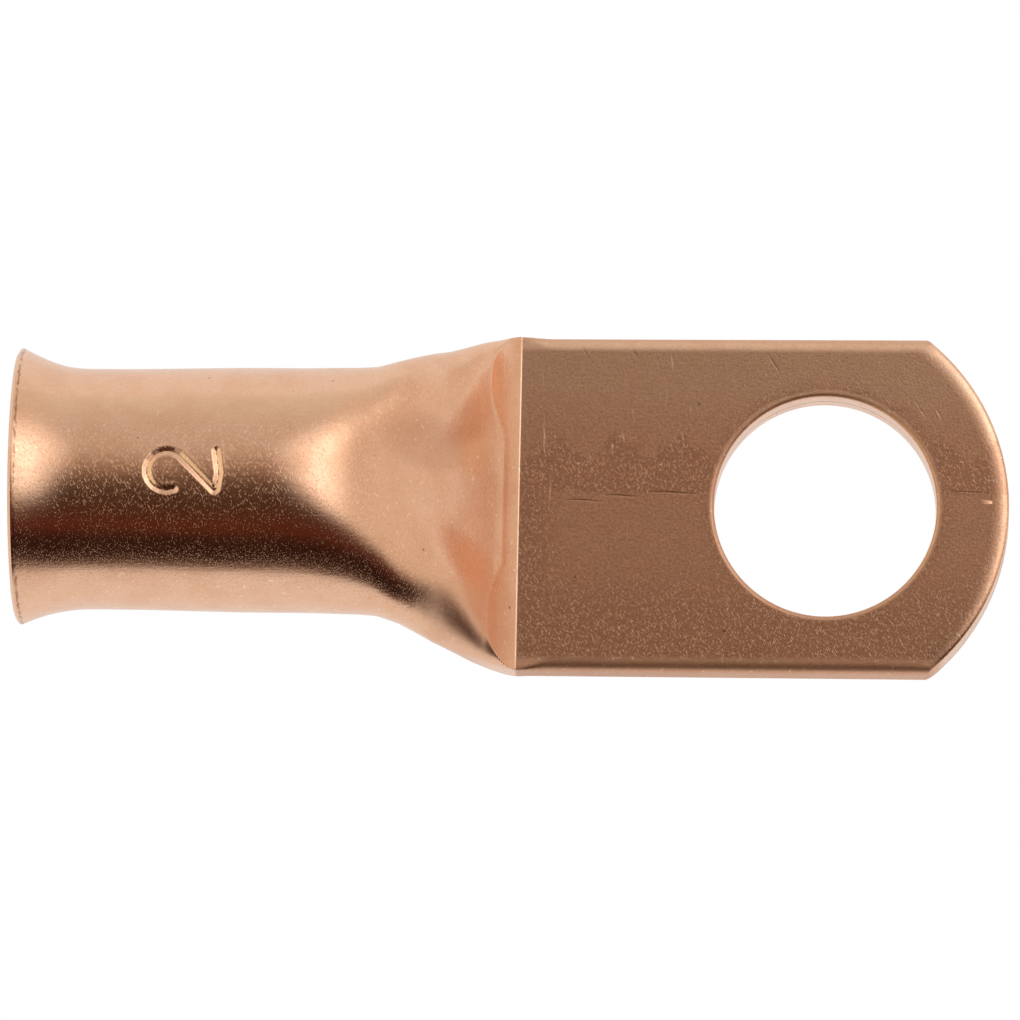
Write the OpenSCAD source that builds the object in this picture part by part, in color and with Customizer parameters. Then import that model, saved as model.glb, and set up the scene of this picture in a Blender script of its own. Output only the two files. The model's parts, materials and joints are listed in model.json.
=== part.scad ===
// Copper cable lug: one length of tube, belled at the cable end, pressed flat and punched at the other.
// The stud hole's centre on the palm's underside is the origin, +X runs along the palm to its rounded
// end and +Z points out of the palm's top face. All lengths are in millimetres.

/* [Tube] */
// Outside diameter of the tube
tube_od = 11.27; // [10.8:0.01:12.5]
// Inside diameter of the tube, which is the cable bore
bore_d = 8.45; // [7.9:0.05:9]
// Length of the round barrel, from its mouth to where the flattening starts
barrel_len = 12.6; // [11:0.01:18]

/* [Bell mouth] */
// Length of the flared stretch at the mouth
bell_len = 3.5; // [2.5:0.1:4.5]
// Radius of the curve by which the outside flares
bell_r = 7.75; // [6:0.05:12]

/* [Transition] */
// Radius of the rounded shoulder where the top of the tube turns down
shoulder_r = 8; // [7:0.1:9]
// Slope of the pressed ramp below the shoulder, in degrees
ramp_angle = 55.5; // [50:0.5:60]
// Radius of the hollow at the foot of the ramp
toe_r = 0.6; // [0.4:0.1:1.2]
// Length of the ledge between the foot of the ramp and the step
ledge_len = 0.15; // [0.1:0.05:0.6]
// How far the ledge stands above the palm's top face
step_h = 0.4; // [0.2:0.05:0.8]
// Length over which the step comes down to the palm
step_run = 0.43; // [0.3:0.01:0.8]
// How far each side of the ledge bulges past the palm's side
ledge_swell = 0.11; // [0.05:0.01:0.3]

/* [Palm] */
// Width of the palm
palm_w = 15.9; // [14.5:0.05:18]
// Thickness of the palm, two tube walls pressed together
palm_t = 2.5; // [2:0.05:3.2]
// Length of the palm, from the step to the rounded end
palm_len = 23.12; // [20:0.01:28]
// Radius of the palm's rounded end
end_r = 10.22; // [9.2:0.01:12]
// Rounding along the palm's two long sides
side_r = 0.45; // [0.2:0.05:0.8]

/* [Stud hole] */
// Diameter of the punched stud hole
hole_d = 10.5; // [8.2:0.1:11.5]
// Distance from the hole's centre to the palm's rounded end
hole_to_end = 8.76; // [8:0.01:10.5]
// Rounding that the punch leaves at the hole's upper edge
hole_edge_r = 0.25; // [0.1:0.05:0.5]

/* [Resolution] */
// Points round each section of the pressed transition
section_points = 72; // [48:8:96]
// Sections along each curve of the transition
curve_steps = 10; // [6:1:14]

/* [Hidden] */
$fn = 120;
// how far a cutting shape, or a shape buried in another, runs past the face that it meets
past = 1;
// how far the pressed skin is drawn in where it is buried in the barrel and the palm
draw_in = 0.01;
// height of the slit in which the cavity ends between the two walls
slit_h = 0.3;

tube_r = tube_od / 2;
bore_r = bore_d / 2;
wall = tube_r - bore_r;
// the bell's outer and inner curves turn about one circle, so the wall keeps its thickness
bell_c = tube_r + bell_r;
// the two walls meet at the ledge
ledge_h = palm_t + step_h;
ledge_w = palm_w + 2 * ledge_swell;
shoulder_fall = shoulder_r * (1 - cos(ramp_angle));
toe_fall = toe_r * (1 - cos(ramp_angle));
ramp_run = (tube_od - ledge_h - shoulder_fall - toe_fall) / tan(ramp_angle);

// stations along X, from the palm's end back to the mouth
end_x = hole_to_end;
step_x = end_x - palm_len;
ledge_x = step_x - step_run;
toe_x = ledge_x - ledge_len;
ramp_x = toe_x - toe_r * sin(ramp_angle) - ramp_run;
shoulder_x = ramp_x - shoulder_r * sin(ramp_angle);
mouth_x = shoulder_x - barrel_len;
bell_x = mouth_x + bell_len;

// [x, height of the tube] along the pressed stretch: over the shoulder, and through the hollow at
// the ramp's foot. The straight ramp lies between the two.
shoulder_line = [
    for (i = [1 : curve_steps])
        let (a = ramp_angle * i / curve_steps)
        [shoulder_x + shoulder_r * sin(a), tube_od - shoulder_r * (1 - cos(a))]
];
toe_line = [
    for (i = [0 : curve_steps])
        let (a = ramp_angle * (1 - i / curve_steps))
        [toe_x - toe_r * sin(a), ledge_h + toe_r * (1 - cos(a))]
];
pressed_line = concat(shoulder_line, toe_line, [[ledge_x, ledge_h]]);

// How far the tube is flattened at the height h: 0 where it is round and 1 at the ledge.
function flattened(h) = (tube_od - h) / (tube_od - ledge_h);
// Width at the height h: what the press takes off the height goes into the width.
function width_at(h) = tube_od + (ledge_w - tube_od) * flattened(h);
// Wall at the height h: the cavity closes as the tube is flattened.
function wall_at(h) = (h - bore_d * (1 - flattened(h))) / 2;

// Section at x: a rounded box of width w between the heights z0 and z1, with the corner radius r.
function box_section(x, w, z0, z1, r) = [
    for (i = [0 : section_points - 1])
        let (a = (i + 0.5) * 360 / section_points)
        [
            x,
            r * cos(a) + sign(cos(a)) * (w / 2 - r),
            r * sin(a) + sign(sin(a)) * ((z1 - z0) / 2 - r) + (z0 + z1) / 2
        ]
];
// Section of the flattened tube at x, with full round sides, drawn in from its outer skin by d.
function tube_section(x, h, d) = box_section(x, width_at(h) - 2 * d, d, h - d, h / 2 - d);

// Closed skin through sections that all have section_points points.
module skin(sections) {
    n = section_points;
    last = len(sections) - 1;
    sides = [
        for (k = [0 : last - 1], i = [0 : n - 1])
            let (a = k * n + i, b = k * n + (i + 1) % n)
            each [[a, b + n, b], [a, a + n, b + n]]
    ];
    near_cap = [for (i = [0 : n - 1]) i];
    far_cap = [for (i = [n - 1 : -1 : 0]) last * n + i];
    polyhedron(points = [for (s = sections) each s], faces = concat([near_cap], sides, [far_cap]));
}

// Turns a profile in [radius, x] about the tube's axis, which lies tube_r over the palm's underside.
module about_axis() {
    translate([0, 0, tube_r]) rotate([0, 90, 0]) rotate_extrude() children();
}

// Bell between the mouth and bell_x, whose curve of radius curve_r starts square to the tube's end.
module bell(curve_r) {
    tip_r = bell_c - sqrt(curve_r * curve_r - bell_len * bell_len);
    about_axis() difference() {
        translate([0, mouth_x]) square([tip_r, bell_len]);
        translate([bell_c, bell_x]) circle(r = curve_r);
    }
}

module barrel() {
    bell(bell_r);
    about_axis() translate([0, bell_x]) square([tube_r, shoulder_x - bell_x]);
}

// Outside of the stretch where the press turned the tube into the palm.
module pressed_tube() {
    buried_end = [
        for (x = [step_x, step_x + past])
            box_section(x, palm_w - 2 * draw_in, draw_in, palm_t - draw_in, side_r - draw_in)
    ];
    skin(concat(
        [for (x = [shoulder_x - past, shoulder_x]) tube_section(x, tube_od, draw_in)],
        [for (p = pressed_line) tube_section(p[0], p[1], 0)],
        buried_end
    ));
}

module palm_outline() {
    intersection() {
        translate([step_x, -palm_w / 2]) square([palm_len, palm_w]);
        union() {
            translate([step_x, -palm_w]) square([end_x - end_r - step_x, 2 * palm_w]);
            translate([end_x - end_r, 0]) circle(r = end_r);
        }
    }
}

module palm_profile() {
    flat_w = palm_w - 2 * side_r;
    flat_t = palm_t - 2 * side_r;
    translate([-flat_w / 2, 0]) square([flat_w, palm_t]);
    translate([-palm_w / 2, side_r]) square([palm_w, flat_t]);
    for (y = [-1, 1], z = [side_r, palm_t - side_r])
        translate([y * flat_w / 2, z]) circle(r = side_r);
}

module palm() {
    intersection() {
        linear_extrude(palm_t) palm_outline();
        translate([step_x, 0, 0]) rotate([90, 0, 90]) linear_extrude(palm_len) palm_profile();
    }
}

// What the cable fills: the bell, the bore and the hollow that narrows to a slit under the ramp.
module cavity() {
    slit_at = ledge_h + slit_h * (tube_od - ledge_h) / bore_d;
    slit_x = lookup(slit_at, [for (p = pressed_line) [p[1], p[0]]]);
    mouth_r = bell_c - sqrt(pow(bell_r + wall, 2) - bell_len * bell_len);
    about_axis() translate([0, mouth_x - past]) square([mouth_r, past]);
    bell(bell_r + wall);
    about_axis() translate([0, bell_x]) square([bore_r, shoulder_x - bell_x]);
    skin(concat(
        [for (x = [shoulder_x - past, shoulder_x]) tube_section(x, tube_od, wall + draw_in)],
        [for (p = pressed_line) if (p[0] < slit_x - draw_in) tube_section(p[0], p[1], wall_at(p[1]))],
        [tube_section(slit_x, slit_at, wall_at(slit_at))]
    ));
}

// The stud hole, with the edge that the punch drew in at the top.
module stud_hole() {
    hole_r = hole_d / 2;
    rotate_extrude() {
        translate([0, -past]) square([hole_r, palm_t + past]);
        difference() {
            translate([0, palm_t - hole_edge_r]) square([hole_r + hole_edge_r, hole_edge_r + past]);
            translate([hole_r + hole_edge_r, palm_t - hole_edge_r]) circle(r = hole_edge_r);
        }
    }
}

module lug() {
    color([0.78, 0.5, 0.37]) difference() {
        union() {
            barrel();
            pressed_tube();
            palm();
        }
        cavity();
        stud_hole();
    }
}

lug();
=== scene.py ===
import json
import math
import bmesh
import bpy
from mathutils import Matrix, Vector


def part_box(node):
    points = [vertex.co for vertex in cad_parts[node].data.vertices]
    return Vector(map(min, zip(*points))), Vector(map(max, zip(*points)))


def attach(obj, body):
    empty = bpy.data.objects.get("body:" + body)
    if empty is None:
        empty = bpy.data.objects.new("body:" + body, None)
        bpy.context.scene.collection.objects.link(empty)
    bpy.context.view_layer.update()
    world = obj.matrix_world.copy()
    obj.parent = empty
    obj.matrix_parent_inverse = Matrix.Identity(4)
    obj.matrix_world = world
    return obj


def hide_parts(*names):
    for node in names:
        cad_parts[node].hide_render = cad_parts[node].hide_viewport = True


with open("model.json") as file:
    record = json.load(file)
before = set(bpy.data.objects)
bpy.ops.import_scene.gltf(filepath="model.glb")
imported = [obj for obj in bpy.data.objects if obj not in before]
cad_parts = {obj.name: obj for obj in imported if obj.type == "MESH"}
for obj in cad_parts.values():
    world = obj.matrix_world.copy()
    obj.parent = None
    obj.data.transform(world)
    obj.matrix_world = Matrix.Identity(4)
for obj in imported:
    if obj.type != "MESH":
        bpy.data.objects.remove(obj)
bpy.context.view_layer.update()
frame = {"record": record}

mm = 0.001


def mountNamed(name):
    return next(m for m in frame["record"]["mounts"] if m["name"] == name)


# what the frame says of the lug, in millimetres
lugLow, lugHigh = [[c / mm for c in corner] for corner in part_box("lug")]
mouthX, endX = lugLow[0], lugHigh[0]
tubeR = mountNamed("cable_bore")["pos_m"][2] / mm
boreR = mountNamed("cable_bore")["dims"]["r_mm"]
holeR = mountNamed("stud_hole")["dims"]["r_mm"]
palmT = mountNamed("palm_top")["pos_m"][2] / mm
wall = tubeR - boreR

lug = {
    # bell and barrel
    "bellLength": 3.5,
    "bellCurve": 7.75,
    "swell": 0.1,
    # how far the bell leans out on one side, and over what length
    "rimLean": 0.2,
    "leanLength": 2.6,
    # chamfer of the cut rim, where its rounding sits as shares of both, and its unevenness
    "rimWide": 0.3,
    "rimDeep": 0.24,
    "bevelWide": 0.35,
    "bevelDeep": 0.6,
    "rimUneven": 0.02,
    "mouthBreak": 0.08,
    # at distances before the step: the top's slope in degrees, and what the tube's half width has gained
    "topSlopes": (
        (11.8, 0),
        (10.7, 7),
        (9.2, 18),
        (7.5, 36),
        (6.0, 43.5),
        (4.5, 45),
        (3.0, 46),
        (1.5, 47),
        (0.6, 46),
        (0, 44),
    ),
    "sideSpread": (
        (9.8, 0),
        (8.5, 0.04),
        (7.55, 0.07),
        (6.6, 0.14),
        (5.6, 0.46),
        (3.96, 1.14),
        (2.45, 1.59),
        (1.3, 1.92),
        (0.5, 2.13),
        (0, 2.2),
    ),
    # radius of the underside's corners there
    "footCurve": (
        (7.5, 5.635),
        (6.4, 5.62),
        (5.6, 5.5),
        (4.9, 4.9),
        (3.75, 3.5),
        (2.2, 1.5),
        (1.0, 0.7),
        (0, 0.45),
    ),
    # where the top's round corners tighten to the shoulder's radius, and the Y that gives their height
    "shoulderRound": 1.3,
    "shoulderOpens": (3.9, 0.9),
    "shoulderY": 5.6,
    # easing of the outline's curvature, as a share of its length, and where it starts
    "ease": 0.011,
    "easeFrom": (10.5, 7.0),
    "slitHigh": 0.14,
    # dish in the ramp and the folds on both sides of it
    "dish": 0.38,
    "dishY": 1.8,
    "dishOff": 0.2,
    "dishOpens": 0.65,
    "dishOpensFrom": 4.6,
    "dishNarrowest": 1.2,
    "dishWidest": 4.1,
    "dishSoft": 1.3,
    "dishDeepens": (7.0, 2.8),
    "dishFlattens": (2.6, 1.0),
    "foldRise": 0.8,
    "foldFrom": 2.7,
    "foldTo": 5.0,
    "toeRound": 0.45,
    # the press's nose, which left the step: slope at the palm, radius of its curve, slope of its back
    "noseSlope": 40.0,
    "noseCurve": 5.8,
    "noseEnd": 1.5,
    "noseBack": 2.3,
    "creaseRound": 0.035,
    # its upper edge: distance before the step, rounding in the middle and more at the sides, bead
    "edgeAt": 0.47,
    "edgeRound": 0.03,
    "edgeRounder": 0.09,
    "edgeSides": (2.2, 4.6),
    "bead": 0.02,
    "beadWidth": 0.06,
    # the step stood a little askew
    "stepBack": 0.1,
    "stepTurn": 0.009,
    "stepFades": (4, 1),
    # palm, and its top's edge where it leaves the step
    "palmWidth": 15.9,
    "palmWider": 0.13,
    "sideRound": 0.55,
    "stepEdge": 0.08,
    "endCurve": 10.22,
    "palmLength": 23.12,
    # rolled top edge of the rounded end, and the burr below it
    "endRollWide": 0.8,
    "endRollDeep": 0.2,
    "endRollPower": 1.1,
    "burrOut": 0.05,
    "burrFrom": 0.08,
    "burrUp": 0.45,
    # rolled edge of the hole, and the seam between the two layers in the hole and at the end
    "holeRoll": 0.2,
    "seamZ": 1.05,
    "seamHalf": 0.03,
    "holeSeam": 0.06,
    "endSeam": 0.05,
    # how far the punch and the shear stood off the middle
    "holeOff": -0.04,
    "endShort": 0.05,
    # mesh
    "slots": 320,
    "fineSlots": 60,
    "fineWidth": 3.2,
    "lineStep": 0.01,
    # cutters: turn of the hole's facets, sweep of the end's cutter, both in degrees, and their facets
    "holeTurn": 0.7,
    "holeSteps": 180,
    "endSweep": 124,
    "endSteps": 121,
    "cutterReach": 6,
    "sharpAngle": 32,
}

bellX = mouthX + lug["bellLength"]
stepX = endX - lug["palmLength"]
neckLength = lug["topSlopes"][0][0]
neckX = stepX - neckLength
endCentreX = endX - lug["endCurve"]
tubeTop = 2 * tubeR


def smooth(a, b, x):
    t = min(1.0, max(0.0, (x - a) / (b - a)))
    return t * t * (3 - 2 * t)


def softMin(a, b, r):
    if abs(a - b) >= r:
        return min(a, b)
    return min(a, b) - (r - abs(a - b)) ** 2 / (4 * r)


def softMax(a, b, r):
    return -softMin(-a, -b, r)


# value at u along (place, value) pairs whose places fall
def along(pairs, u):
    if u >= pairs[0][0]:
        return pairs[0][1]
    for (u0, v0), (u1, v1) in zip(pairs, pairs[1:]):
        if u >= u1:
            return v0 + (v1 - v0) * (u0 - u) / (u0 - u1)
    return pairs[-1][1]


# height of the press's nose at the distance u before the step
def noseHeight(u):
    c, a = lug["noseCurve"], math.radians(lug["noseSlope"])
    across = c * math.sin(a) + min(u, lug["noseEnd"])
    z = palmT + c * math.cos(a) - math.sqrt(c * c - across * across)
    return z + max(0.0, u - lug["noseEnd"]) * lug["noseBack"]


edgeH = noseHeight(lug["edgeAt"])


# the top's line through the neck, summed up from its slopes in short steps
def topLine():
    fine = lug["lineStep"]
    falls = [0.0]
    for k in range(round(neckLength / fine)):
        slope = math.radians(along(lug["topSlopes"], neckLength - (k + 0.5) * fine))
        falls.append(falls[-1] + fine * math.tan(slope))
    whole = falls[round((neckLength - lug["edgeAt"]) / fine)]
    scale = (tubeTop - edgeH) / whole
    return [tubeTop - f * scale for f in falls]


topHeights = topLine()


def middleHeight(u):
    k = (neckLength - u) / lug["lineStep"]
    if k <= 0:
        return tubeTop
    i = min(int(k), len(topHeights) - 2)
    return topHeights[i] + (topHeights[i + 1] - topHeights[i]) * (k - i)


# top of the tube before the nose came down on it
def tubeHeight(u, y):
    opened = lug["dishY"] + (lug["dishOpensFrom"] - u) * lug["dishOpens"]
    centre = min(lug["dishWidest"], max(lug["dishNarrowest"], opened))
    deep = smooth(*lug["dishDeepens"], u) - 0.5 * smooth(*lug["dishFlattens"], u)
    side = smooth(centre - lug["dishSoft"], centre + lug["dishSoft"], abs(y - lug["dishOff"]))
    dish = lug["dish"] * deep * side
    floor = edgeH + lug["foldRise"] * smooth(lug["foldFrom"], lug["foldTo"], abs(y))
    return softMax(middleHeight(u) + dish, floor, lug["toeRound"])


# point of a rounded box at the arc length f (0 to 1) from the middle of its top, towards +Y
def roundedBox(halfW, low, high, r, foot, f):
    halfTop, topArc = halfW - r, math.pi * r / 2
    side = high - low - r - foot
    halfLow, lowArc = halfW - foot, math.pi * foot / 2
    half = halfTop + topArc + side + lowArc + halfLow
    s = (f % 1.0) * 2 * half
    mirrored = s > half
    if mirrored:
        s = 2 * half - s
    if s < halfTop:
        y, z = s, high
    elif s < halfTop + topArc:
        a = (s - halfTop) / r
        y, z = halfTop + r * math.sin(a), high - r + r * math.cos(a)
    elif s < halfTop + topArc + side:
        y, z = halfW, high - r - (s - halfTop - topArc)
    elif s < half - halfLow:
        a = (s - halfTop - topArc - side) / foot
        y, z = halfLow + foot * math.cos(a), low + foot - foot * math.sin(a)
    else:
        y, z = half - s, low
    return (-y if mirrored else y), z


# the same, with its changes of curvature eased over a stretch of its outline
def easedBox(halfW, low, high, r, foot, f, ease):
    if ease < 1e-4:
        return roundedBox(halfW, low, high, r, foot, f)
    sumY, sumZ = 0.0, 0.0
    for k, weight in ((-2, 0.1), (-1, 0.24), (0, 0.32), (1, 0.24), (2, 0.1)):
        y, z = roundedBox(halfW, low, high, r, foot, f + k * ease)
        sumY += y * weight
        sumZ += z * weight
    return sumY, sumZ


# slots round the ring, closer together across the top of the barrel where the figure is stamped
def slotFraction(i, even):
    plain = i / lug["slots"]
    girth = 2 * math.pi * tubeR
    fine = lug["fineSlots"]
    fineStep = lug["fineWidth"] / fine / girth
    coarseStep = (1 - fineStep * fine) / (lug["slots"] - fine)
    half = fine // 2
    if i <= half:
        close = i * fineStep
    elif i >= lug["slots"] - half:
        close = 1 - (lug["slots"] - i) * fineStep
    else:
        close = half * fineStep + (i - half) * coarseStep
    return close + (plain - close) * even


# the stamped size figure: a plain 2 that is read from the cable's side
figure = {
    "x": -29.75,
    "side": -0.02,
    # the bowl's radius, height, first angle and sweep in degrees, and number of short strokes
    "bowl": 0.93,
    "bowlUp": 0.75,
    "bowlFrom": 202,
    "bowlSweep": 240,
    "bowlStrokes": 12,
    # the slant and the foot, with heights from the foot's line
    "footUp": -1.55,
    "foot": ((-0.93, 0.1), (-0.86, 0), (-0.1, -0.12), (0.92, 0.02)),
    # stroke, and the lip of metal pushed up beside it, its place and width as shares of the half stroke
    "halfStroke": 0.2,
    "depth": 0.1,
    "lip": 0.012,
    "lipAt": 1.25,
    "lipWidth": 0.45,
    # how far the stamp reaches along the barrel and round it, and the stretch with fine rings
    "reachAlong": 2.4,
    "reachRound": 1.6,
    "fineStretch": 2.1,
}


def figurePath():
    bowl, count = figure["bowl"], figure["bowlStrokes"]
    points = []
    for k in range(count + 1):
        a = math.radians(figure["bowlFrom"] - figure["bowlSweep"] * k / count)
        points.append((bowl * math.cos(a), figure["bowlUp"] + bowl * math.sin(a)))
    for across, up in figure["foot"]:
        points.append((across, figure["footUp"] + up))
    return points


strokes = list(zip(figurePath()[:-1], figurePath()[1:]))


# distance from a point to the nearest stroke
def strokeDistance(a, b):
    best = math.inf
    for (ax, ay), (bx, by) in strokes:
        dx, dy = bx - ax, by - ay
        t = max(0.0, min(1.0, ((a - ax) * dx + (b - ay) * dy) / (dx * dx + dy * dy)))
        best = min(best, math.hypot(a - ax - t * dx, b - ay - t * dy))
    return best


# how far the stamp moved the barrel's surface at x and the arc length s from its top line
def stampDepth(x, s):
    if abs(x - figure["x"]) > figure["reachAlong"] or abs(s) > figure["reachRound"]:
        return 0.0
    d = strokeDistance(s - figure["side"], figure["x"] - x)
    half = figure["halfStroke"]
    sink = -figure["depth"] * max(0.0, 1 - d / half)
    beside = (d - half * figure["lipAt"]) / (half * figure["lipWidth"])
    lip = figure["lip"] * math.exp(-beside ** 2)
    return sink + lip


# how much wider than round the tube has become near the neck
def widening(x):
    return 1 + lug["swell"] / tubeR * smooth(bellX + 1.0, neckX, x)


def barrelPoint(x, f):
    r = tubeR
    if x < bellX:
        c = lug["bellCurve"]
        r = tubeR + c - math.sqrt(c * c - (bellX - x) ** 2)
    s = (f if f < 0.5 else f - 1) * 2 * math.pi * tubeR
    r += stampDepth(x, s)
    a = 2 * math.pi * f
    return r * math.sin(a) * widening(x), tubeR + r * math.cos(a)


def neckPoint(x, f):
    u = stepX - x
    high = tubeHeight(u, lug["shoulderY"])
    opened = smooth(*lug["shoulderOpens"], u)
    halfW = tubeR + along(lug["sideSpread"], u)
    foot = along(lug["footCurve"], u)
    r = (high - foot) * (1 - opened) + min(lug["shoulderRound"], high - foot) * opened
    ease = lug["ease"] * smooth(*lug["easeFrom"], u) * (1 - opened)
    y, z = easedBox(halfW, 0.0, high, r, foot, f, ease)
    # the dish and the folds lie in the upper half
    upper = min(1.0, max(0.0, (z - high * 0.5) / (high * 0.3)))
    z += (tubeHeight(u, y) - high) * upper
    nose = softMax(noseHeight(u), palmT, lug["creaseRound"])
    bead = lug["bead"] * math.exp(-((z - nose) / lug["beadWidth"]) ** 2) * smooth(0.0, 0.3, u)
    edge = lug["edgeRound"] + lug["edgeRounder"] * smooth(*lug["edgeSides"], abs(y))
    return y * widening(neckX), softMin(z, nose, edge) + bead


def palmPoint(x, f):
    t = smooth(0, 0.8, x - stepX)
    atStep = (tubeR + lug["sideSpread"][-1][1]) * widening(neckX)
    atEnd = (lug["palmWidth"] + lug["palmWider"] * (x - stepX) / lug["palmLength"]) / 2
    halfW = atStep + (atEnd - atStep) * t
    r = lug["stepEdge"] + (lug["sideRound"] - lug["stepEdge"]) * smooth(0.1, 1.6, x - stepX)
    y, z = roundedBox(halfW, 0.0, palmT, r, lug["sideRound"], f)
    if z > palmT * 0.9 and x < stepX + 0.1:
        z += softMax(noseHeight(stepX - x), palmT, lug["creaseRound"]) - palmT
    return y, z


def outerPoint(x, f):
    if x <= neckX:
        return barrelPoint(x, f)
    if x < stepX:
        return neckPoint(x, f)
    return palmPoint(x, f)


def innerPoint(x, f):
    if x <= neckX:
        r = boreR
        if x < bellX:
            c = lug["bellCurve"] + wall
            r = tubeR + lug["bellCurve"] - math.sqrt(c * c - (bellX - x) ** 2)
        a = 2 * math.pi * f
        return r * math.sin(a), tubeR + r * math.cos(a)
    u = stepX - x
    h = middleHeight(u)
    pressed = (tubeTop - h) / (tubeTop - edgeH)
    inner = max(h - 2 * wall, lug["slitHigh"])
    halfW = boreR + (lug["palmWidth"] / 2 - wall - boreR) * pressed
    mid = h / 2
    return roundedBox(halfW, mid - inner / 2, mid + inner / 2, inner / 2 - 1e-4, inner / 2 - 1e-4, f)


def steps(a, b, n):
    return [a + (b - a) * k / n for k in range(n + 1)]


# rings from the slit inside, out through the bore, round the rim and along the outside to the palm
def ringPlan():
    plan = []
    slitX = stepX - 1.1
    rimX = mouthX + lug["rimDeep"]
    inside = steps(mouthX + 0.05, bellX, 10)[:-1] + steps(bellX, neckX, 4)[:-1] + steps(neckX, slitX, 34)
    for x in reversed(inside):
        plan.append((x, "inner"))
    plan.append((mouthX, "lipIn"))
    plan.append((mouthX, "lipOut"))
    plan.append((mouthX + lug["rimDeep"] * lug["bevelDeep"], "bevel"))
    outside = steps(rimX, rimX + 0.1, 2) + steps(rimX + 0.1, bellX, 18)[1:]
    stampA, stampB = figure["x"] - figure["fineStretch"], figure["x"] + figure["fineStretch"]
    outside += steps(bellX, stampA, 6)[1:]
    outside += steps(stampA, stampB, 72)[1:]
    outside += steps(stampB, neckX, 5)[1:]
    outside += steps(neckX, stepX - 1.6, 54)[1:]
    outside += steps(stepX - 1.6, stepX - 0.06, 44)[1:]
    outside += [stepX - 0.03, stepX, stepX + 0.03, stepX + 0.06, stepX + 0.12]
    outside += steps(stepX + 0.3, stepX + 2.1, 8)
    outside += steps(stepX + 2.1, endX + 1.0, 9)[1:]
    for x in outside:
        plan.append((x, "outer"))
    return plan


# small unevenness of the cut rim round the turn f
def rimUneven(f):
    a = 2 * math.pi * f
    return 0.5 * math.sin(9 * a + 1) + 0.3 * math.sin(23 * a + 2) + 0.2 * math.sin(61 * a)


# the bell's lean outwards on its +Y side
def leaned(x, y):
    if y <= 0:
        return y
    return y * (1 + lug["rimLean"] / tubeR * smooth(mouthX + lug["leanLength"], mouthX, x))


def ringPoint(entry, f):
    x, kind = entry
    if kind == "outer":
        y, z = outerPoint(x, f)
        back = lug["stepBack"] - lug["stepTurn"] * y
        y = leaned(x, y)
        if x < mouthX + lug["rimDeep"] + lug["rimUneven"]:
            x += lug["rimUneven"] * rimUneven(f)
        return x - back * smooth(*lug["stepFades"], abs(x - stepX)), y, z
    if kind == "inner":
        y, z = innerPoint(x, f)
        return x, leaned(x, y), z
    c, long = lug["bellCurve"], lug["bellLength"]
    bellR = tubeR + c - math.sqrt(c * c - long ** 2)
    if kind == "lipIn":
        r = tubeR + c - math.sqrt((c + wall) ** 2 - long ** 2) + lug["mouthBreak"]
    elif kind == "lipOut":
        r = bellR - lug["rimWide"] + lug["rimUneven"] * rimUneven(f + 0.3)
    else:
        r = bellR - lug["rimWide"] * lug["bevelWide"]
    a = 2 * math.pi * f
    return x, leaned(x, r * math.sin(a)), tubeR + r * math.cos(a)


def buildTube():
    bm = bmesh.new()
    slotLayer = bm.verts.layers.int.new("slot")
    ring = bmesh.ops.create_circle(bm, segments=lug["slots"], radius=1.0)["verts"]
    for i, v in enumerate(ring):
        v[slotLayer] = i
    edges = list(bm.edges)
    plan = ringPlan()

    def place(verts, entry):
        even = smooth(neckX, stepX, entry[0])
        for v in verts:
            f = slotFraction(v[slotLayer], even)
            v.co = Vector(ringPoint(entry, f)) * mm

    place(ring, plan[0])
    bmesh.ops.contextual_create(bm, geom=edges)
    for entry in plan[1:]:
        made = bmesh.ops.extrude_edge_only(bm, edges=edges)["geom"]
        fresh = {g for g in made if isinstance(g, bmesh.types.BMVert)}
        place(fresh, entry)
        edges = [g for g in made if isinstance(g, bmesh.types.BMEdge) and fresh.issuperset(g.verts)]
    bmesh.ops.contextual_create(bm, geom=edges)
    bmesh.ops.recalc_face_normals(bm, faces=bm.faces)
    print("tube:", len(plan), "rings,", len(bm.faces), "faces")
    return bm


def newObject(name, bm):
    mesh = bpy.data.meshes.new(name)
    bm.to_mesh(mesh)
    bm.free()
    obj = bpy.data.objects.new(name, mesh)
    bpy.context.scene.collection.objects.link(obj)
    return obj


# closed cutter: an outline in (radius, z) turned about a vertical line
def turnedCutter(name, outline, centre, fromAngle, sweep, count):
    bm = bmesh.new()
    verts = [bm.verts.new((r * mm, 0, z * mm)) for r, z in outline]
    full = sweep >= 2 * math.pi - 1e-6
    pairs = list(zip(verts, verts[1:] + verts[:1]))
    if full:
        pairs = pairs[:-1]
    edges = [bm.edges.new(p) for p in pairs]
    bmesh.ops.rotate(bm, verts=verts, cent=(0, 0, 0), matrix=Matrix.Rotation(fromAngle, 3, "Z"))
    geom = verts + edges
    if not full:
        geom += bmesh.ops.contextual_create(bm, geom=edges)["faces"]
    bmesh.ops.spin(bm, geom=geom, axis=(0, 0, 1), cent=(0, 0, 0), angle=sweep, steps=count, use_merge=full)
    bmesh.ops.remove_doubles(bm, verts=bm.verts, dist=1e-7)
    bmesh.ops.translate(bm, verts=bm.verts, vec=(centre[0] * mm, centre[1] * mm, 0))
    bmesh.ops.recalc_face_normals(bm, faces=bm.faces)
    return newObject(name, bm)


def quarterCurve(count):
    return [k / count * math.pi / 2 for k in range(count + 1)]


def holeOutline():
    e, seam, half = lug["holeRoll"], lug["seamZ"], lug["seamHalf"]
    points = [(0, -1), (holeR, -1)]
    points += [(holeR, seam - half), (holeR + lug["holeSeam"], seam), (holeR, seam + half)]
    for a in quarterCurve(6):
        points.append((holeR + e * (1 - math.cos(a)), palmT - e * 0.8 * (1 - math.sin(a))))
    points += [(holeR + e, palmT + 1), (0, palmT + 1)]
    return points


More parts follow.
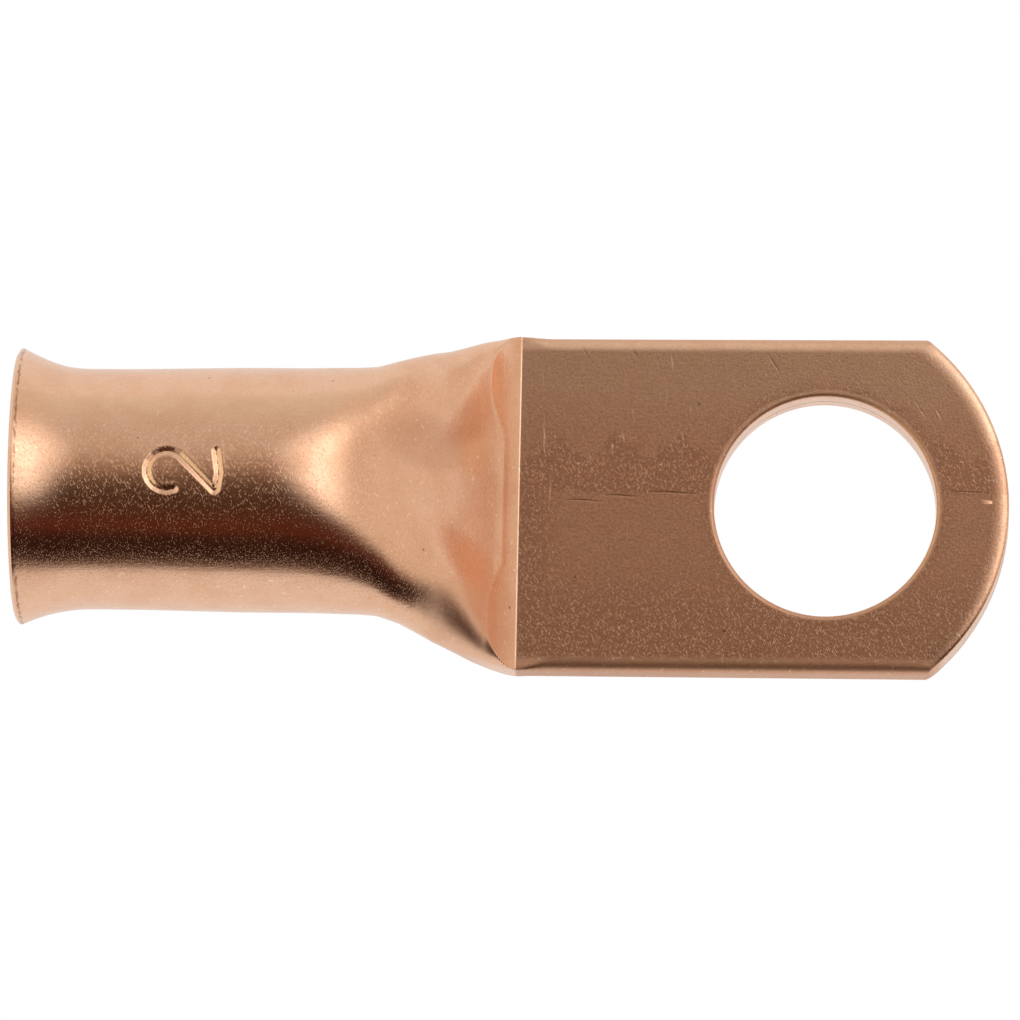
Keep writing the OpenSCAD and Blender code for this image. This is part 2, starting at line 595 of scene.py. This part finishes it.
def endOutline():
    wide, deep, seam, half = lug["endRollWide"], lug["endRollDeep"], lug["seamZ"], lug["seamHalf"]
    out, r = lug["endCurve"], lug["endCurve"] - lug["burrOut"]
    far = out + lug["cutterReach"]
    points = [(far, -1), (out, -1), (out, lug["burrFrom"]), (r, lug["burrUp"])]
    points += [(r, seam - half), (r - lug["endSeam"], seam), (r, seam + half)]
    for a in quarterCurve(8):
        down = deep * (1 - math.sin(a)) ** lug["endRollPower"]
        points.append((r - wide * (1 - math.cos(a)), palmT - down))
    points += [(r - wide, palmT + 1), (far, palmT + 1)]
    return points


def cutWith(obj, cutter):
    mod = obj.modifiers.new("cut", "BOOLEAN")
    mod.operation = "DIFFERENCE"
    mod.solver = "EXACT"
    mod.object = cutter
    graph = bpy.context.evaluated_depsgraph_get()
    mesh = bpy.data.meshes.new_from_object(obj.evaluated_get(graph))
    obj.modifiers.clear()
    obj.data = mesh
    bpy.data.objects.remove(cutter)


def finishShading(obj, sharpDegrees):
    bm = bmesh.new()
    bm.from_mesh(obj.data)
    bmesh.ops.dissolve_degenerate(bm, edges=bm.edges, dist=1e-7)
    limit = math.radians(sharpDegrees)
    for f in bm.faces:
        f.smooth = True
    for e in bm.edges:
        e.smooth = len(e.link_faces) == 2 and e.calc_face_angle(0) < limit
    triangles = sum(len(f.verts) - 2 for f in bm.faces)
    print("lug:", triangles, "triangles,", sum(not e.is_manifold for e in bm.edges), "open")
    bm.to_mesh(obj.data)
    bm.free()


print("lug: tube")
lugPiece = newObject("copper_lug", buildTube())
print("lug: stud hole and rounded end")
centre, turn = (0, lug["holeOff"]), math.radians(lug["holeTurn"])
cutWith(lugPiece, turnedCutter("holeCutter", holeOutline(), centre, turn, 2 * math.pi, lug["holeSteps"]))
centre, sweep = (endCentreX - lug["endShort"], 0), math.radians(lug["endSweep"])
cutWith(lugPiece, turnedCutter("endCutter", endOutline(), centre, -sweep / 2, sweep, lug["endSteps"]))
finishShading(lugPiece, lug["sharpAngle"])
weighted = lugPiece.modifiers.new("weightedNormals", "WEIGHTED_NORMAL")
weighted.keep_sharp = True


def addNode(tree, kind, settings=None, values=None):
    node = tree.nodes.new(kind)
    for name, value in (settings or {}).items():
        setattr(node, name, value)
    for name, value in (values or {}).items():
        node.inputs[name].default_value = value
    return node


# feeds an input with a socket or with a plain value
def feed(tree, target, source):
    if isinstance(source, bpy.types.NodeSocket):
        tree.links.new(source, target)
    else:
        target.default_value = source


def calc(tree, operation, a, b=None, c=None):
    node = addNode(tree, "ShaderNodeMath", {"operation": operation})
    for socket, source in zip(node.inputs, (a, b, c)):
        if source is not None:
            feed(tree, socket, source)
    return node.outputs[0]


# eased step of a value from 0 at a to 1 at b
def ramp(tree, value, a, b, low=0.0, high=1.0):
    node = addNode(tree, "ShaderNodeMapRange", {"interpolation_type": "SMOOTHSTEP"})
    sources = {"Value": value, "From Min": a, "From Max": b, "To Min": low, "To Max": high}
    for name, source in sources.items():
        feed(tree, node.inputs[name], source)
    return node.outputs[0]


def noise(tree, place, scale, detail=2.0, roughness=0.5, output="Fac"):
    values = {"Scale": scale, "Detail": detail, "Roughness": roughness}
    node = addNode(tree, "ShaderNodeTexNoise", None, values)
    tree.links.new(place, node.inputs["Vector"])
    return node.outputs[output]


def mapped(tree, place, turn=(0, 0, 0), scale=(1, 1, 1), move=(0, 0, 0), kind="POINT"):
    node = addNode(tree, "ShaderNodeMapping", {"vector_type": kind})
    for name, value in (("Rotation", turn), ("Scale", scale), ("Location", move)):
        node.inputs[name].default_value = value
    tree.links.new(place, node.inputs["Vector"])
    return node.outputs[0]


def blend(tree, share, a, b, kind="MIX"):
    node = addNode(tree, "ShaderNodeMix", {"data_type": "RGBA", "blend_type": kind})
    feed(tree, node.inputs["Factor"], share)
    for name, source in (("A", a), ("B", b)):
        socket = next(s for s in node.inputs if s.name == name and s.type == "RGBA")
        feed(tree, socket, source)
    return next(s for s in node.outputs if s.type == "RGBA")


def newGroup(name, inputs, outputs):
    tree = bpy.data.node_groups.new(name, "ShaderNodeTree")
    for socketName, kind in inputs:
        tree.interface.new_socket(socketName, in_out="INPUT", socket_type=kind)
    for socketName, kind in outputs:
        tree.interface.new_socket(socketName, in_out="OUTPUT", socket_type=kind)
    return tree, tree.nodes.new("NodeGroupInput"), tree.nodes.new("NodeGroupOutput")


def useGroup(tree, group, **sources):
    node = addNode(tree, "ShaderNodeGroup", {"node_tree": group})
    for name, source in sources.items():
        feed(tree, node.inputs[name], source)
    return node.outputs


copper = {
    "bright": (0.93, 0.57, 0.385, 1),
    "tanned": (0.88, 0.51, 0.33, 1),
    # dull copper of the grain and the palm's bands, also the colour of the painted shade in the ramp's
    # dish
    "dull": (0.62, 0.33, 0.21, 1),
    # orange of the painted shade in the valley beside the fold
    "paintedValleyShade": (0.85, 0.4, 0.17, 1),
    "pit": (0.16, 0.06, 0.03, 1),
    # pale copper of worn specks and light scratches, also of the painted sheen on the palm and the painted
    # highlight along the crease
    "wornAndHighlight": (1.0, 0.74, 0.56, 1),
    "roughness": 0.2,
    "rougher": 0.06,
    "edgeRough": 0.25,
    "cornerRough": 0.16,
    # hairs: slants in degrees, length and width, and the level above which the noise shows as one
    "hairSlants": (62, 118),
    "hairLength": 0.24,
    "hairWidth": 0.05,
    "hairLevel": 0.67,
    # dots: size, and the share of the cells that have one
    "dotSize": 0.09,
    "dotShare": 0.3,
    # heights of the relief in millimetres
    "grain": 0.0022,
    "palmGrain": 0.0044,
    "coarse": 0.002,
    "hairs": 0.0034,
    "brushed": 0.002,
    "scratch": 0.006,
}

# painted shade in the neck's ramp, standing in for a dark reflection in its dish and a darker orange one
# in the valley beside the fold: middle, half width, half height, share, colour
paintedShadePatches = (
    ((-18.6, 2.1), 2.4, 1.6, 0.42, "dull"),
    ((-16.5, 2.1), 0.9, 1.6, 0.42, "paintedValleyShade"),
)

# single scratches on the palm: x and y of both ends in millimetres, half width, and strength, which is
# below zero for a dark one
scratches = (
    (-13.42, 7.4, -13.3, 4.9, 0.035, 0.5),
    (-13.3, 4.7, -13.22, 1.8, 0.035, 1.0),
    (-12.97, 2.0, -13.0, -0.4, 0.03, 0.8),
    (-13.0, -0.4, -13.2, -1.9, 0.03, 0.5),
    (-7.32, 7.4, -7.2, 6.2, 0.04, 1.0),
    (-7.42, 5.8, -7.5, 4.6, 0.03, 0.5),
    (-7.95, 7.0, -7.9, 6.3, 0.03, 0.5),
    (-9.6, 3.6, -9.5, 2.9, 0.035, 1.0),
    (-10.05, 3.0, -10.0, 2.4, 0.035, 0.9),
    (-11.1, 2.5, -11.05, 1.9, 0.035, 0.9),
    (-6.75, 3.6, -6.7, 2.9, 0.035, 0.9),
    (-7.3, 3.1, -7.2, 2.4, 0.035, 0.8),
    (-9.1, 4.7, -9.05, 4.2, 0.03, 0.8),
    (-6.35, 4.8, -6.35, 4.3, 0.03, 0.7),
    (5.15, 4.75, 5.55, 4.0, 0.035, 0.9),
    (4.35, 4.75, 4.8, 4.1, 0.03, 0.7),
    (4.1, 5.2, 4.6, 4.4, 0.03, 0.6),
    (7.35, 5.2, 7.3, 4.85, 0.045, 0.9),
    (-2.8, 7.3, -2.1, 6.2, 0.04, -0.8),
    (-11.6, 7.6, -11.2, 6.9, 0.05, -0.8),
    (-9.2, 7.5, -8.8, 6.9, 0.05, -0.7),
    (-10.6, 0.42, -8.6, 0.36, 0.035, -1.0),
    (-8.5, 0.6, -5.7, 0.48, 0.035, -1.0),
    (-12.4, 0.18, -10.4, 0.1, 0.035, -0.9),
    (5.6, 0.7, 7.9, 0.62, 0.035, -0.7),
)


scratchWobble = 0.16


# random marks, one in each cell of a grid of points: those under Share are shown, Size wide
def dotsGroup():
    tree, fromOutside, result = newGroup(
        "dots",
        (("Place", "NodeSocketVector"), ("Size", "NodeSocketFloat"), ("Share", "NodeSocketFloat")),
        (("Mask", "NodeSocketFloat"),),
    )
    source = fromOutside.outputs
    cells = addNode(tree, "ShaderNodeTexVoronoi", None, {"Randomness": 1.0, "Scale": 1.0})
    tree.links.new(source["Place"], cells.inputs["Vector"])
    split = addNode(tree, "ShaderNodeSeparateColor")
    tree.links.new(cells.outputs["Color"], split.inputs[0])
    varied = calc(tree, "MULTIPLY_ADD", split.outputs["Green"], 0.8, 0.5)
    size = calc(tree, "MULTIPLY", source["Size"], varied)
    inside = ramp(tree, cells.outputs["Distance"], size, 0.0)
    chosen = calc(tree, "LESS_THAN", split.outputs["Red"], source["Share"])
    tree.links.new(calc(tree, "MULTIPLY", inside, chosen), result.inputs["Mask"])
    return tree


# one thin scratch, tapered to both ends
def scratchMark(tree, place, x0, y0, x1, y1, half, strength):
    turn = (0, 0, math.atan2(y1 - y0, x1 - x0))
    size = (math.hypot(x1 - x0, y1 - y0) / 2, half, 1)
    # the wobble of the place shifts it by half its width on average
    shift = scratchWobble / 2
    local = mapped(tree, place, turn, size, ((x0 + x1) / 2 + shift, (y0 + y1) / 2 + shift, 0), "TEXTURE")
    away = addNode(tree, "ShaderNodeVectorMath", {"operation": "LENGTH"})
    tree.links.new(local, away.inputs[0])
    return calc(tree, "MULTIPLY_ADD", away.outputs["Value"], -strength, strength)


def product(tree, *values):
    result = values[0]
    for value in values[1:]:
        result = calc(tree, "MULTIPLY", result, value)
    return result


# 1 between a and b, with soft ends
def between(tree, value, a, b, soft):
    return product(tree, ramp(tree, value, a - soft, a + soft), ramp(tree, value, b + soft, b - soft))


# 1 inside a soft oval round a point of the X-Y plane
def oval(tree, x, y, middle, wide, high):
    u = calc(tree, "DIVIDE", calc(tree, "SUBTRACT", x, middle[0]), wide)
    v = calc(tree, "DIVIDE", calc(tree, "SUBTRACT", y, middle[1]), high)
    away = calc(tree, "ADD", calc(tree, "MULTIPLY", u, u), calc(tree, "MULTIPLY", v, v))
    return ramp(tree, away, 1.0, 0.1)


# short strokes of the given slant, where stretched noise peaks
def hairs(tree, place, slant, length, width, level):
    streaks = mapped(tree, place, (0, 0, math.radians(slant)), (length, width, width), kind="TEXTURE")
    return ramp(tree, noise(tree, streaks, 1.0, 0.0), level, level + 0.12)


def copperMaterial():
    material = bpy.data.materials.new("copper")
    material.use_nodes = True
    tree = material.node_tree
    shader = tree.nodes["Principled BSDF"]
    shader.inputs["Metallic"].default_value = 1.0
    coord = addNode(tree, "ShaderNodeTexCoord")
    place = mapped(tree, coord.outputs["Object"], scale=(1 / mm, 1 / mm, 1 / mm))
    split = addNode(tree, "ShaderNodeSeparateXYZ")
    tree.links.new(place, split.inputs[0])
    x, y, z = split.outputs
    flat = mapped(tree, place, scale=(1, 1, 0))
    askew = calc(tree, "MULTIPLY_ADD", y, -lug["stepTurn"], lug["stepBack"] - stepX)
    fromStep = calc(tree, "ADD", x, askew)
    aside = calc(tree, "ABSOLUTE", y)
    clouds = noise(tree, place, 0.55, 2.0, 0.6)
    patches = noise(tree, place, 2.2, 1.0, 0.6)
    grain = noise(tree, place, 8.0, 1.0, 0.7)
    coarse = noise(tree, place, 3.6, 0.0)

    # where things are
    level = ramp(tree, z, palmT - 0.3, palmT - 0.05)
    onTop = product(tree, ramp(tree, fromStep, -0.02, 0.06), level)
    onPalm = ramp(tree, fromStep, -0.1, 0.1)
    onTube = calc(tree, "SUBTRACT", 1.0, onPalm)
    squares = calc(tree, "ADD", calc(tree, "MULTIPLY", x, x), calc(tree, "MULTIPLY", y, y))
    across = calc(tree, "SQRT", squares)
    peaks = calc(tree, "PINGPONG", calc(tree, "ADD", x, 9.7), 1.5)
    upper = calc(tree, "MULTIPLY_ADD", peaks, -0.8, calc(tree, "MULTIPLY_ADD", patches, 1.4, 2.6))
    below = ramp(tree, calc(tree, "SUBTRACT", upper, y), -0.25, 0.25)
    band = product(tree, ramp(tree, y, 0.45, 0.6), below)
    foot = product(tree, ramp(tree, x, stepX + 2.2, stepX + 0.6), ramp(tree, y, 2.6, 1.6))
    lower = ramp(tree, calc(tree, "MULTIPLY_ADD", patches, 2.5, y), -0.8, -4.5)
    ring = ramp(tree, calc(tree, "MULTIPLY_ADD", patches, 0.8, across), holeR + 1.5, holeR + 0.3)
    worked = calc(tree, "MAXIMUM", calc(tree, "MAXIMUM", band, foot), calc(tree, "MAXIMUM", lower, ring))

    # colour: tan clouds, grain, dull bands on the palm, painted shade patches in the neck
    base = blend(tree, ramp(tree, clouds, 0.4, 0.7, 0.0, 0.8), copper["bright"], copper["tanned"])
    grained = calc(tree, "MULTIPLY_ADD", onPalm, 0.3, 0.15)
    base = blend(tree, product(tree, ramp(tree, grain, 0.38, 0.7), grained), base, copper["dull"])
    # painted sheen: the palm's top made paler towards +Y, the light side
    base = blend(tree, product(tree, onTop, ramp(tree, y, 2.5, 6.0), 0.35), base, copper["wornAndHighlight"])
    base = blend(tree, product(tree, ramp(tree, aside, 7.65, 7.85), onPalm, 0.4), base, copper["dull"])
    mottled = ramp(tree, patches, 0.4, 0.7, 0.0, 0.1)
    dull = product(tree, onTop, calc(tree, "MULTIPLY_ADD", worked, 0.5, mottled))
    base = blend(tree, dull, base, copper["dull"])
    # painted shade: dull brown in the dish and deeper orange in the valley beside the fold, standing in
    # for dark reflections
    for middle, wide, high, share, colour in paintedShadePatches:
        paintedShadePatch = product(tree, oval(tree, x, y, middle, wide, high), share)
        base = blend(tree, paintedShadePatch, base, copper[colour])
    jags = calc(tree, "MULTIPLY_ADD", coarse, 0.12, x)
    rimmed = between(tree, jags, mouthX + 0.31, mouthX + 0.4, 0.03)
    base = blend(tree, product(tree, rimmed, ramp(tree, patches, 0.3, 0.55), 0.6), base, copper["pit"])

    # marks: hairs in two directions, dots, and the palm's single scratches
    bristles = [
        hairs(tree, place, slant, copper["hairLength"], copper["hairWidth"], copper["hairLevel"])
        for slant in copper["hairSlants"]
    ]
    brushed = calc(tree, "MAXIMUM", onTube, calc(tree, "MULTIPLY_ADD", worked, 0.5, 0.3))
    strokes = product(tree, calc(tree, "MAXIMUM", *bristles), brushed)
    specks = ramp(tree, noise(tree, place, 4.5, 0.0), 0.73, 0.82)
    specks = product(tree, specks, calc(tree, "MULTIPLY_ADD", worked, 0.75, 0.25))
    base = blend(tree, product(tree, specks, 0.6), base, copper["wornAndHighlight"])
    pits = useGroup(tree, dotsGroup(), Place=place, Size=copper["dotSize"], Share=copper["dotShare"])
    base = blend(tree, product(tree, pits["Mask"], 0.7), base, copper["pit"])
    wobble = addNode(tree, "ShaderNodeVectorMath", {"operation": "MULTIPLY_ADD"})
    tree.links.new(noise(tree, flat, 0.9, 1.0, 0.6, "Color"), wobble.inputs[0])
    wobble.inputs[1].default_value = (scratchWobble, scratchWobble, 0)
    tree.links.new(flat, wobble.inputs[2])
    light, dark = 0.0, 0.0
    for x0, y0, x1, y1, half, strength in scratches:
        mark = scratchMark(tree, wobble.outputs[0], x0, y0, x1, y1, half * 1.8, abs(strength))
        if strength > 0:
            light = calc(tree, "MAXIMUM", mark, light)
        else:
            dark = calc(tree, "MAXIMUM", mark, dark)
    light = product(tree, light, onTop, ramp(tree, grain, 0.3, 0.55))
    dark = product(tree, dark, onTop)
    base = blend(tree, product(tree, light, 0.6), base, copper["wornAndHighlight"])
    base = blend(tree, product(tree, dark, 0.45), base, copper["pit"])

    # painted highlight along the crease, jagged by the ticks of the press in front of it
    ticks = noise(tree, mapped(tree, place, scale=(0.8, 16, 16)), 1.0, 0.0)
    jagged = calc(tree, "MULTIPLY_ADD", ticks, 0.09, fromStep)
    # painted highlight: a pale line along the crease
    creaseHighlight = product(tree, between(tree, jagged, 0.0, 0.07, 0.02), ramp(tree, z, palmT - 0.2, palmT))
    base = blend(tree, product(tree, creaseHighlight, 0.3), base, copper["wornAndHighlight"])
    tree.links.new(base, shader.inputs["Base Color"])
    onStep = between(tree, fromStep, -0.75, 0.0, 0.05)

    # relief in millimetres
    fine = calc(tree, "MULTIPLY_ADD", onTube, copper["grain"] - copper["palmGrain"], copper["palmGrain"])
    relief = calc(tree, "MULTIPLY", grain, fine)
    relief = calc(tree, "MULTIPLY_ADD", product(tree, coarse, onTube), copper["coarse"], relief)
    relief = calc(tree, "MULTIPLY_ADD", strokes, -copper["hairs"], relief)
    relief = calc(tree, "MULTIPLY_ADD", calc(tree, "ADD", light, dark), -copper["scratch"], relief)
    relief = calc(tree, "MULTIPLY_ADD", product(tree, ticks, onStep), copper["brushed"] * 2, relief)
    drawn = noise(tree, mapped(tree, place, scale=(0.5, 9, 9)), 1.0, 0.0)
    relief = calc(tree, "MULTIPLY_ADD", product(tree, drawn, onTube), copper["brushed"], relief)
    bump = addNode(tree, "ShaderNodeBump", None, {"Strength": 1.0, "Distance": mm})
    tree.links.new(relief, bump.inputs["Height"])
    tree.links.new(bump.outputs[0], shader.inputs["Normal"])

    # roughness: clouds, the palm's edges, the hole's lip and the neck's lower corner
    high = ramp(tree, z, palmT - 0.25, palmT - 0.1)
    lip = product(tree, ramp(tree, across, holeR + 0.35, holeR + 0.1), high)
    edges = calc(tree, "MAXIMUM", ramp(tree, aside, 7.2, 7.6), lip)
    edges = product(tree, edges, onPalm, copper["edgeRough"])
    corner = product(tree, oval(tree, x, y, (-16.2, -5.9), 3.4, 2.2), onTube)
    edges = calc(tree, "MULTIPLY_ADD", corner, copper["cornerRough"], edges)
    rough = calc(tree, "MULTIPLY_ADD", clouds, copper["rougher"], copper["roughness"])
    rough = calc(tree, "ADD", rough, edges)
    tree.links.new(rough, shader.inputs["Roughness"])
    return material


lugPiece.data.materials.clear()
lugPiece.data.materials.append(copperMaterial())
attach(lugPiece, "root")
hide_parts("lug")


# the camera's turns in degrees, its place in metres, its lens and the small shifts that frame the lug
view = {
    "tilt": 9.4,
    "lean": 1.6,
    "roll": 0.65,
    "distance": 0.40,
    "aim": (-0.014, 0.0, 0.0025),
    "sensor": 36.0,
    "lens": 299.2941176,
    "shiftX": -0.0180392157,
    "shiftY": -0.0068627451,
}


studio = {
    "floorMirrored": (0.87, 0.86, 0.84, 1),
    "floorBelow": 0.0002,
    # colour of the surroundings from the dark side (-90) over the top (0) to the light side (90)
    "sides": (
        (-90, (0.13, 0.075, 0.045)),
        (-79, (0.045, 0.022, 0.014)),
        (-69, (0.024, 0.011, 0.008)),
        (-57, (0.02, 0.007, 0.005)),
        (-45, (0.1, 0.023, 0.012)),
        (-32, (0.07, 0.02, 0.012)),
        (-18, (0.046, 0.021, 0.012)),
        (-7, (0.062, 0.031, 0.018)),
        (1, (0.11, 0.065, 0.04)),
        (9, (0.24, 0.17, 0.125)),
        (18, (0.38, 0.305, 0.245)),
        (28, (0.53, 0.48, 0.43)),
        (40, (0.58, 0.54, 0.49)),
        (90, (0.74, 0.76, 0.7)),
    ),
    # towards the lug's two ends, from the horizon up
    "ends": (
        (0, (0.7, 0.61, 0.51)),
        (8, (0.78, 0.7, 0.61)),
        (16, (0.7, 0.62, 0.53)),
        (30, (0.76, 0.7, 0.62)),
        (55, (0.92, 0.89, 0.84)),
        (80, (0.45, 0.4, 0.34)),
    ),
    # what the cut rim mirrors
    "behind": (0.97, 0.93, 0.68, 1),
    # soft round lamp in the surroundings, and a lamp that gives the shadow
    "glow": 0.52,
    "glowColour": (1.0, 0.99, 0.97, 1),
    "glowTo": (0.545, 0.3, 0.782),
    "glowAngles": (34, 13),
    "lampPlace": (0.3, 0.19, 0.42),
    "lampSize": 0.2,
    "lampWatts": 0.06,
}


def buildFloor():
    bm = bmesh.new()
    bmesh.ops.create_grid(bm, x_segments=1, y_segments=1, size=2.0)
    bmesh.ops.translate(bm, verts=bm.verts, vec=(0, 0, lugLow[2] * mm - studio["floorBelow"]))
    floor = newObject("floor", bm)
    material = bpy.data.materials.new("floor")
    material.use_nodes = True
    tree = material.node_tree
    shader = tree.nodes["Principled BSDF"]
    shader.inputs["Base Color"].default_value = (0.9, 0.9, 0.9, 1)
    shader.inputs["Roughness"].default_value = 0.9
    shader.inputs["Specular IOR Level"].default_value = 0.0
    glow = addNode(tree, "ShaderNodeEmission", None, {"Strength": 1.0})
    path = addNode(tree, "ShaderNodeLightPath").outputs
    mirrored = calc(tree, "MAXIMUM", path["Is Glossy Ray"], path["Is Transmission Ray"])
    tree.links.new(blend(tree, mirrored, (1, 1, 1, 1), studio["floorMirrored"]), glow.inputs["Color"])
    share = calc(tree, "MAXIMUM", mirrored, path["Is Camera Ray"])
    mix = addNode(tree, "ShaderNodeMixShader")
    tree.links.new(share, mix.inputs["Fac"])
    tree.links.new(shader.outputs[0], mix.inputs[1])
    tree.links.new(glow.outputs[0], mix.inputs[2])
    tree.links.new(mix.outputs[0], tree.nodes["Material Output"].inputs["Surface"])
    floor.data.materials.append(material)


def buildCamera():
    tilt, lean, roll = (math.radians(view[k]) for k in ("tilt", "lean", "roll"))
    upright = math.cos(lean)
    away = Vector((math.sin(lean), -math.sin(tilt) * upright, math.cos(tilt) * upright))
    right = Vector((0, 1, 0)).cross(away).normalized()
    up = away.cross(right)
    data = bpy.data.cameras.new("camera")
    cam = bpy.data.objects.new("camera", data)
    bpy.context.scene.collection.objects.link(cam)
    turnedRight = right * math.cos(roll) + up * math.sin(roll)
    turnedUp = up * math.cos(roll) - right * math.sin(roll)
    cam.rotation_euler = Matrix((turnedRight, turnedUp, away)).transposed().to_euler()
    cam.location = Vector(view["aim"]) + away * view["distance"]
    data.sensor_width = view["sensor"]
    data.lens = view["lens"]
    data.shift_x = view["shiftX"]
    data.shift_y = view["shiftY"]
    data.clip_start = 0.01
    data.clip_end = 10
    bpy.context.scene.camera = cam


def colourRamp(tree, value, stops, low, high):
    node = addNode(tree, "ShaderNodeValToRGB")
    node.color_ramp.interpolation = "EASE"
    elements = node.color_ramp.elements
    while len(elements) < len(stops):
        elements.new(0.5)
    for element, (degrees, colour) in zip(elements, stops):
        element.position = (degrees - low) / (high - low)
        element.color = (*colour, 1)
    fromLow = calc(tree, "SUBTRACT", value, math.radians(low))
    tree.links.new(calc(tree, "DIVIDE", fromLow, math.radians(high - low)), node.inputs[0])
    return node.outputs[0]


# the surroundings: light on one side, dim overhead, dark on the other side, pale towards the ends
def buildWorld():
    world = bpy.data.worlds.new("studio")
    bpy.context.scene.world = world
    world.use_nodes = True
    tree = world.node_tree
    coord = addNode(tree, "ShaderNodeTexCoord")
    split = addNode(tree, "ShaderNodeSeparateXYZ")
    tree.links.new(coord.outputs["Generated"], split.inputs[0])
    x, y, z = split.outputs
    sides = colourRamp(tree, calc(tree, "ARCTAN2", y, z), studio["sides"], -90, 90)
    ends = colourRamp(tree, calc(tree, "ARCSINE", z), studio["ends"], 0, 90)
    endwise = ramp(tree, calc(tree, "ABSOLUTE", x), 0.15, 0.6)
    share = calc(tree, "MULTIPLY", endwise, ramp(tree, y, -0.45, -0.05))
    colour = blend(tree, share, sides, ends)
    colour = blend(tree, ramp(tree, x, -0.4, -0.7), colour, studio["behind"])
    towards = addNode(tree, "ShaderNodeVectorMath", {"operation": "DOT_PRODUCT"})
    tree.links.new(coord.outputs["Generated"], towards.inputs[0])
    towards.inputs[1].default_value = studio["glowTo"]
    outer, inner = (math.cos(math.radians(angle)) for angle in studio["glowAngles"])
    glow = ramp(tree, towards.outputs["Value"], outer, inner, 0.0, studio["glow"])
    colour = blend(tree, glow, colour, studio["glowColour"], "ADD")
    back = tree.nodes["Background"]
    tree.links.new(colour, back.inputs["Color"])
    back.inputs["Strength"].default_value = 1.0


def buildLamp():
    data = bpy.data.lights.new("softbox", "AREA")
    data.size = studio["lampSize"]
    data.energy = studio["lampWatts"]
    lamp = bpy.data.objects.new("softbox", data)
    bpy.context.scene.collection.objects.link(lamp)
    lamp.location = studio["lampPlace"]
    aim = Vector(view["aim"])
    lamp.rotation_euler = (Vector(studio["lampPlace"]) - aim).to_track_quat("Z", "Y").to_euler()


print("stage")
buildFloor()
buildCamera()
buildWorld()
buildLamp()
bpy.context.scene.view_settings.view_transform = "Standard"
